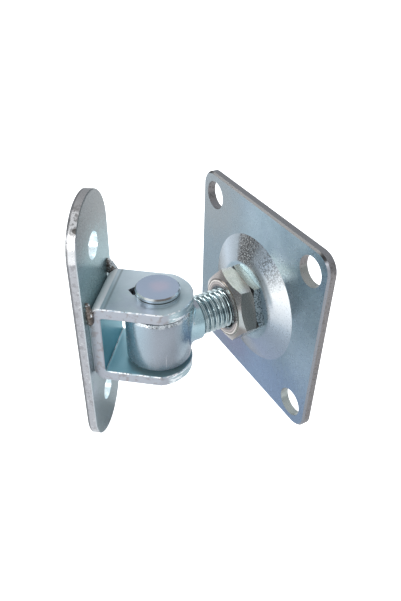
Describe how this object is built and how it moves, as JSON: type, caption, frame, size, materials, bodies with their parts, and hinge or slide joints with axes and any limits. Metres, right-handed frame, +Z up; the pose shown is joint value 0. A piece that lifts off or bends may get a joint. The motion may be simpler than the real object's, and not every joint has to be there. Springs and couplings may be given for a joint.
{
  "type": "adjustable gate hinge",
  "caption": "Adjustable gate hinge: dished square post plate, eye bolt with adjusting and lock nuts, headed pin, and a folded bracket welded to a narrow leaf plate.",
  "frame": {"origin": "centre of the post plate's hole pattern, on its back face", "axes": "+X out of the post along the eye bolt, +Z up along the hinge pin"},
  "size_m": [0.0996, 0.093, 0.1241],
  "materials": {
    "zinc_sheet": "blue bright zinc plating on rolled sheet, satin",
    "zinc_nut": "zinc plating on a turned nut, satin",
    "zinc_forging": "blue bright zinc plating on a forging, semi-gloss",
    "weld": "burnt weld bead under plating, rough"
  },
  "bodies": {
    "post": {"post_plate": "zinc_sheet"},
    "adjuster": {"adjusting_nut": "zinc_nut", "retaining_washer": "zinc_sheet"},
    "locknut": {"lock_nut": "zinc_nut"},
    "eye": {"eye_bolt": "zinc_forging"},
    "gate_side": {"clevis_bracket": "zinc_sheet", "leaf_plate": "zinc_sheet", "weld_far": "weld", "weld_near": "weld", "weld_lower": "weld"},
    "pin": {"hinge_pin": "zinc_forging"}
  },
  "joints": [
    {"name": "adjusting_nut_turn", "type": "hinge", "parent": "post", "child": "adjuster", "pos_m": [0, 0, 0], "axis": [1, 0, 0], "range_deg": [-1080.1, 1800.1]},
    {"name": "lock_nut_turn", "type": "hinge", "parent": "post", "child": "locknut", "pos_m": [0.016, 0, 0], "axis": [1, 0, 0], "range_deg": [-1080.1, 1800.1]},
    {"name": "eye_bolt_slide", "type": "slide", "parent": "post", "child": "eye", "axis": [-1, 0, 0], "range_m": [-0.0075, 0.0125]},
    {"name": "gate_swing", "type": "hinge", "parent": "eye", "child": "gate_side", "pos_m": [0.0521, 0, 0], "axis": [0, 0, 1], "range_deg": [-52, 128]},
    {"name": "pin_turn", "type": "hinge", "parent": "gate_side", "child": "pin", "pos_m": [0.0521, 0, 0], "axis": [0, 0, 1], "continuous": true}
  ],
  "couplings": [
    {"joint": "adjusting_nut_turn", "follows": "eye_bolt_slide", "rad_per_m": 2513.3},
    {"joint": "lock_nut_turn", "follows": "eye_bolt_slide", "rad_per_m": 2513.3}
  ]
}
